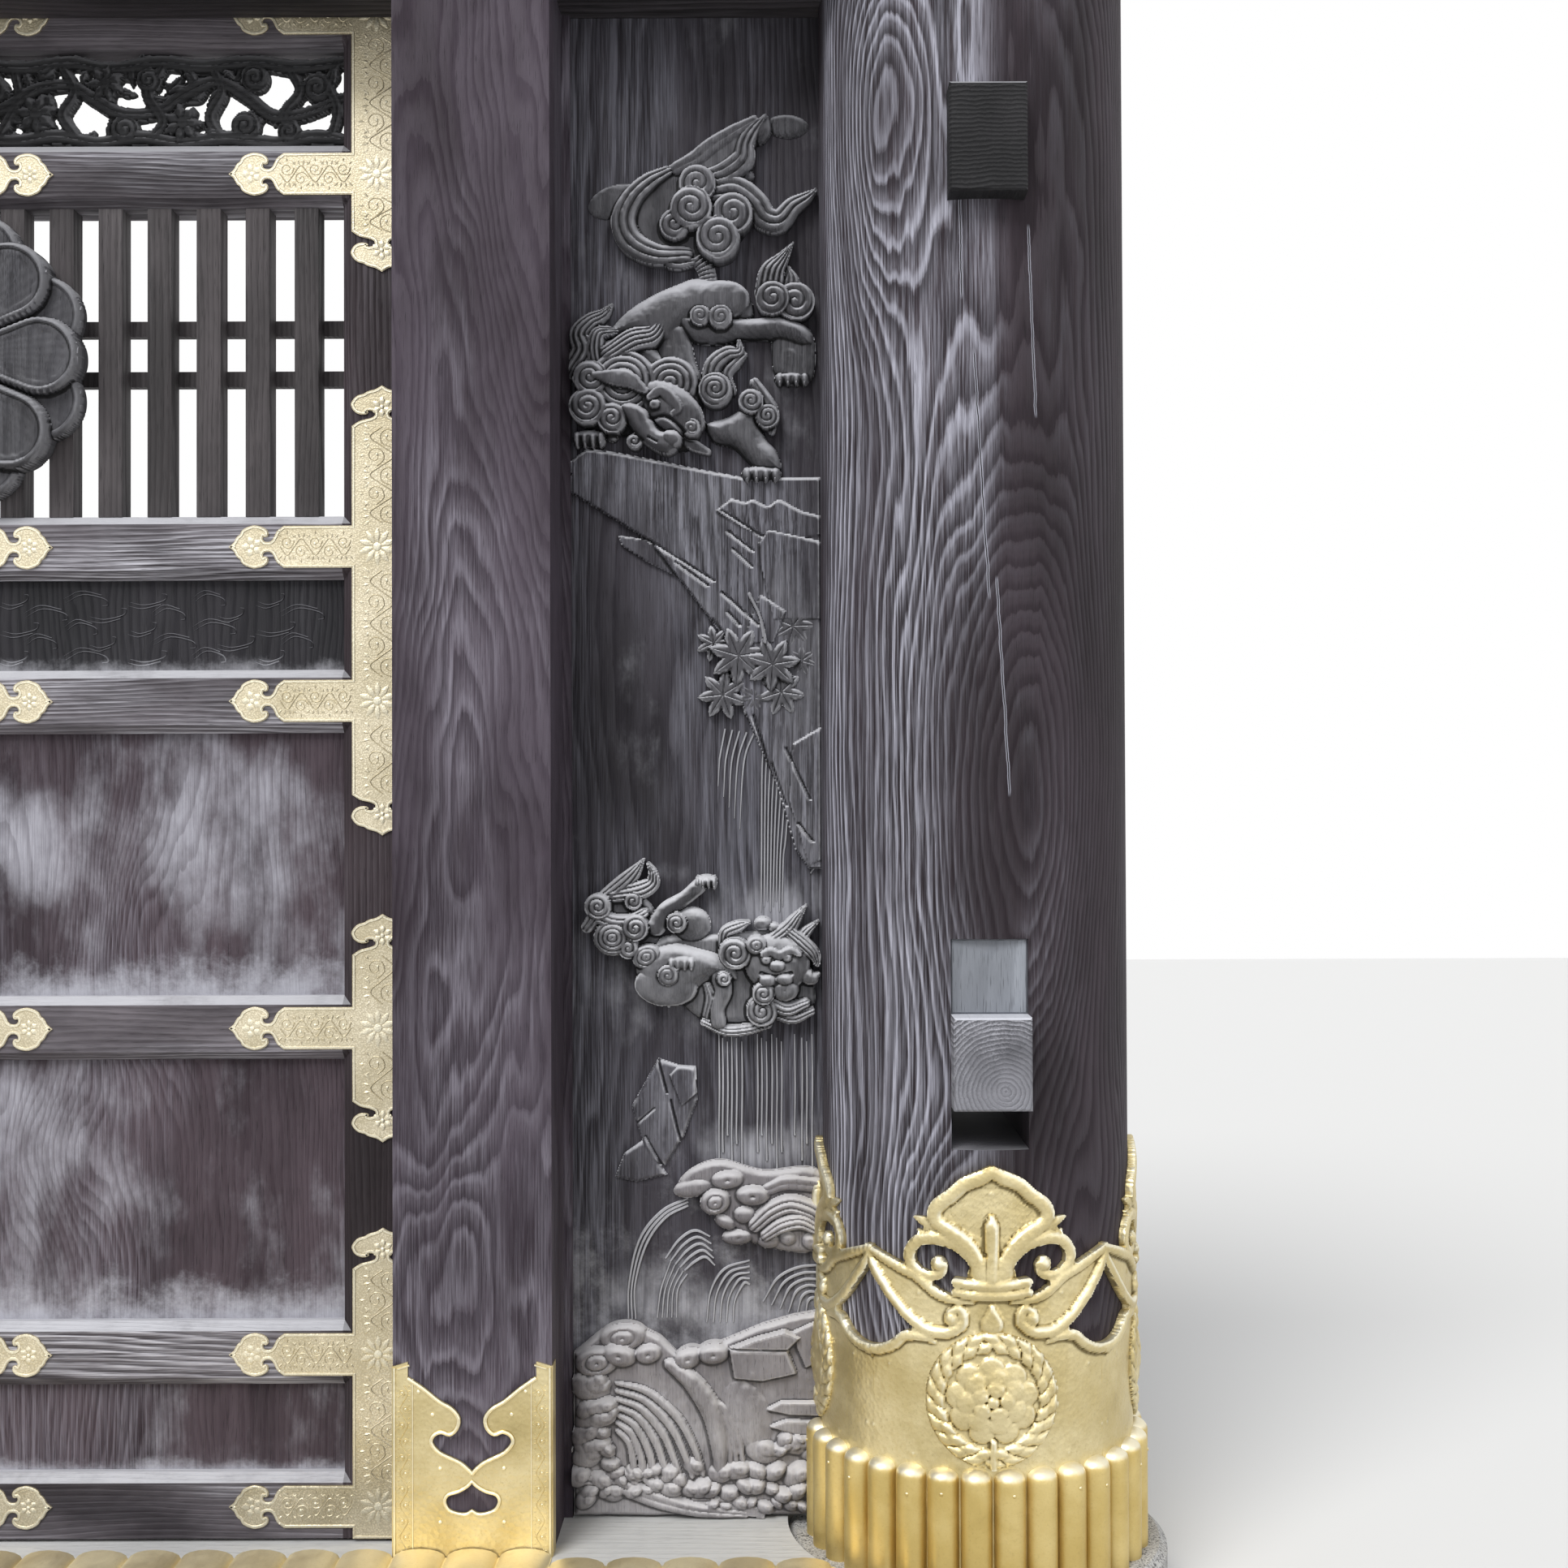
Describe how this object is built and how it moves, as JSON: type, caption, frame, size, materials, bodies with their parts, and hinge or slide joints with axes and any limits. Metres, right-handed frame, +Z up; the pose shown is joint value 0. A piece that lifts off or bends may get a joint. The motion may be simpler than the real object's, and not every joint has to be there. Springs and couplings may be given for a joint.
{
  "type": "carved temple door",
  "caption": "Framed and panelled timber temple door leaf hung on pivots in its frame, with a carved side panel, a round pillar and gilt fittings.",
  "frame": {"origin": "middle of the ground that the part stands on, at the centre of its box", "axes": "+X along the front from the left jamb to the pillar, +Y towards the back, where the leaf opens, +Z up"},
  "size_m": [3.06, 0.62, 2.9],
  "materials": {
    "leaf_wood": "weathered dark timber",
    "post_wood": "weathered grey-brown timber with strong grain",
    "carved_wood": "weathered carved timber with pale dust",
    "pale_wood": "newer grey timber",
    "sill_wood": "pale grey weathered timber",
    "gilt": "gilded copper sheet, satin",
    "stone": "dressed granite",
    "bronze": "dark cast bronze"
  },
  "bodies": {
    "frame": {"base_stone": "stone", "carved_panel": "carved_wood", "cloud_tail_carving": "carved_wood", "door_ground_beam": "sill_wood", "door_ribbed_cover": "gilt", "door_sill": "sill_wood", "left_jamb": "post_wood", "left_jamb_sheath": "gilt", "lintel": "post_wood", "lower_lion_carving": "carved_wood", "lower_pivot_socket": "bronze", "lower_tie_beam": "post_wood", "lower_tie_wedge": "pale_wood", "lower_waves_carving": "carved_wood", "maple_spray_carving": "carved_wood", "panel_bead": "post_wood", "panel_ground_beam": "sill_wood", "panel_ribbed_cover": "gilt", "panel_sill": "sill_wood", "pillar": "post_wood", "pillar_shoe": "gilt", "right_jamb": "post_wood", "right_jamb_sheath": "gilt", "shoe_medallions": "gilt", "shoe_ribs": "gilt", "upper_lion_carving": "carved_wood", "upper_pivot_socket": "bronze", "upper_tie_beam": "post_wood", "wave_crest_carving": "carved_wood"},
    "leaf": {"bottom_rail": "leaf_wood", "frieze_muntin": "leaf_wood", "frieze_panel_left": "leaf_wood", "frieze_panel_right": "leaf_wood", "frieze_rail": "leaf_wood", "hinge_stile": "leaf_wood", "hinge_stile_plates": "gilt", "kick_muntin": "leaf_wood", "kick_panel_left": "leaf_wood", "kick_panel_right": "leaf_wood", "kick_rail": "leaf_wood", "lattice_bars": "leaf_wood", "lattice_cross_bars": "leaf_wood", "lattice_muntin": "leaf_wood", "lattice_rail": "leaf_wood", "lower_muntin": "leaf_wood", "lower_panel_left": "leaf_wood", "lower_panel_right": "leaf_wood", "meeting_stile": "leaf_wood", "meeting_stile_plates": "gilt", "middle_rail": "leaf_wood", "muntin_plates": "gilt", "rosette": "carved_wood", "top_rail": "leaf_wood", "transom_muntin": "leaf_wood", "transom_openwork": "carved_wood", "transom_rail": "leaf_wood", "upper_muntin": "leaf_wood", "upper_panel_left": "leaf_wood", "upper_panel_right": "leaf_wood"}
  },
  "joints": [
    {"name": "leaf_hinge", "type": "hinge", "parent": "frame", "child": "leaf", "pos_m": [0.2825, 0.0575, 0.068], "axis": [0, 0, -1], "range_deg": [0, 90]}
  ]
}
